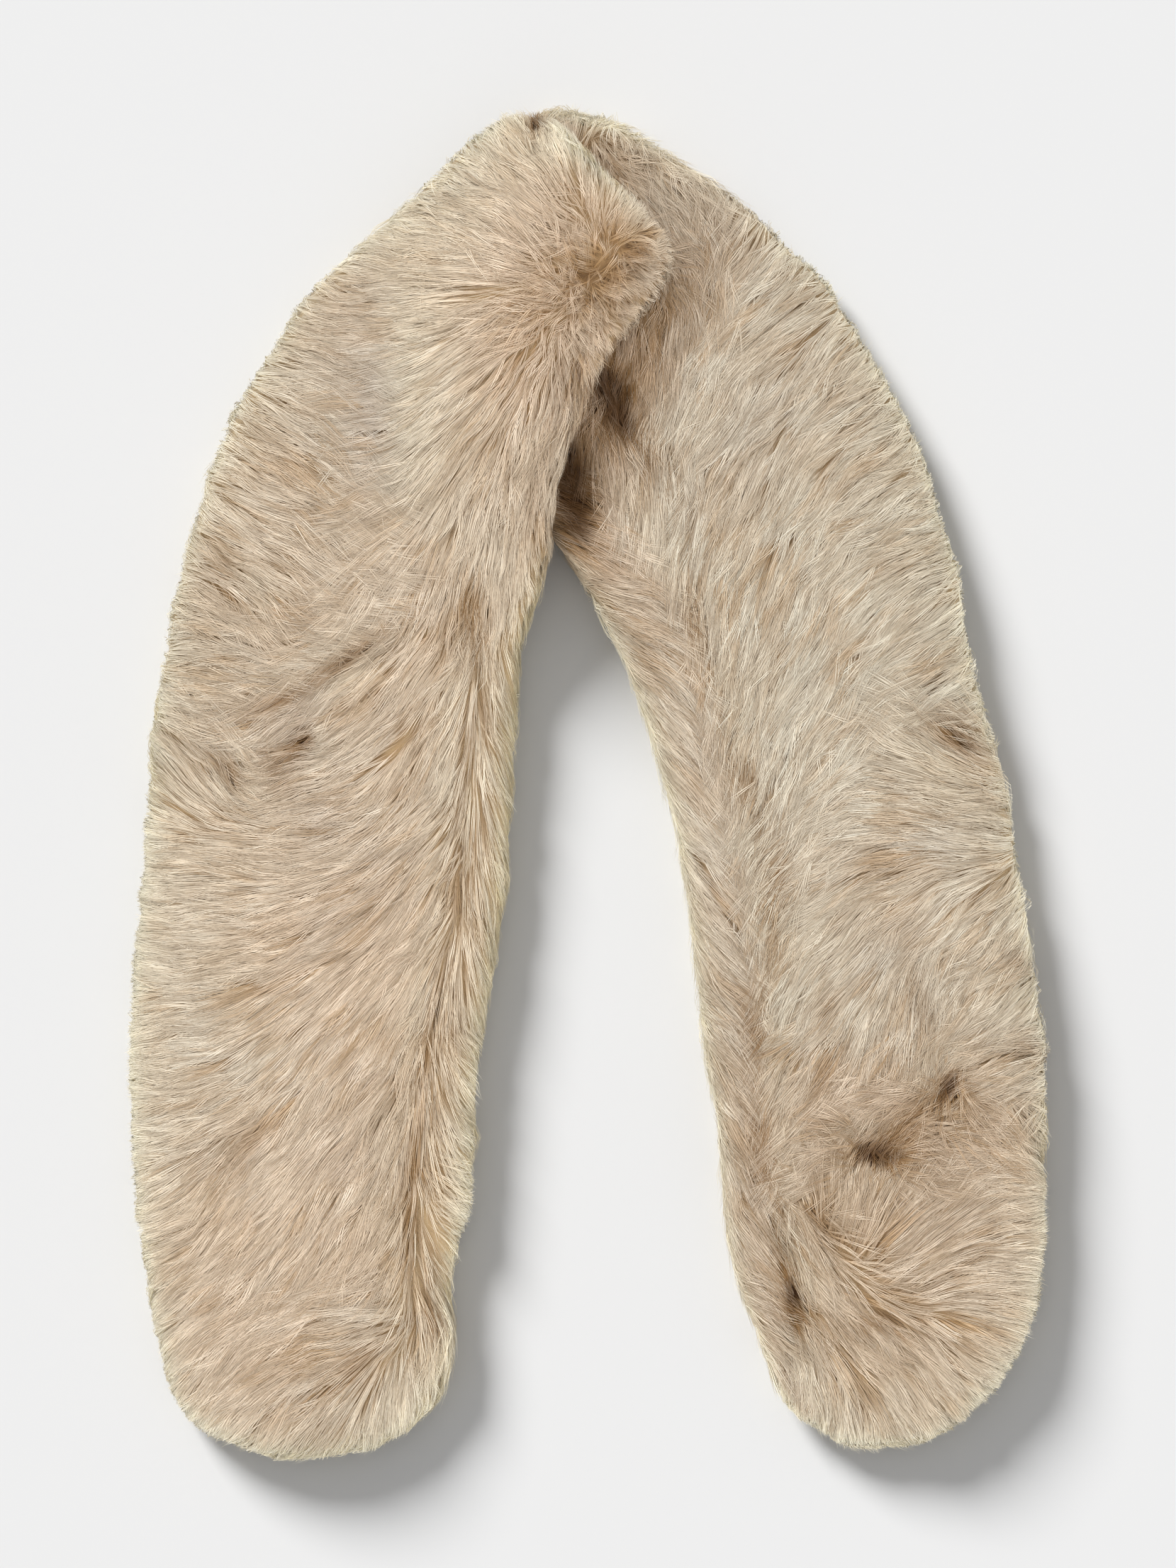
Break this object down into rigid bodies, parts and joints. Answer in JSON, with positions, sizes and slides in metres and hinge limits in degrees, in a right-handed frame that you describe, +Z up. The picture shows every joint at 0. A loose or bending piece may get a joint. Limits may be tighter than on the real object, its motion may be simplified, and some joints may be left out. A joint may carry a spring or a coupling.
{
  "type": "fur collar wrap",
  "caption": "Long-pile faux fur collar wrap, a doubled strip laid flat in an arch and folded over itself at the neck.",
  "frame": {"origin": "on the surface that the wrap lies on, under the middle of its bounding box", "axes": "+X to the right arm, +Y towards the neck fold, +Z up from the surface"},
  "size_m": [0.3406, 0.5016, 0.0605],
  "materials": {
    "fur": "long beige faux fur pile, cream tips and brown roots, soft sheen"
  },
  "bodies": {
    "root": {"left_front_panel": "fur", "left_back_panel": "fur", "right_front_panel": "fur", "right_back_panel": "fur", "neck_fold_return": "fur"}
  },
  "joints": []
}
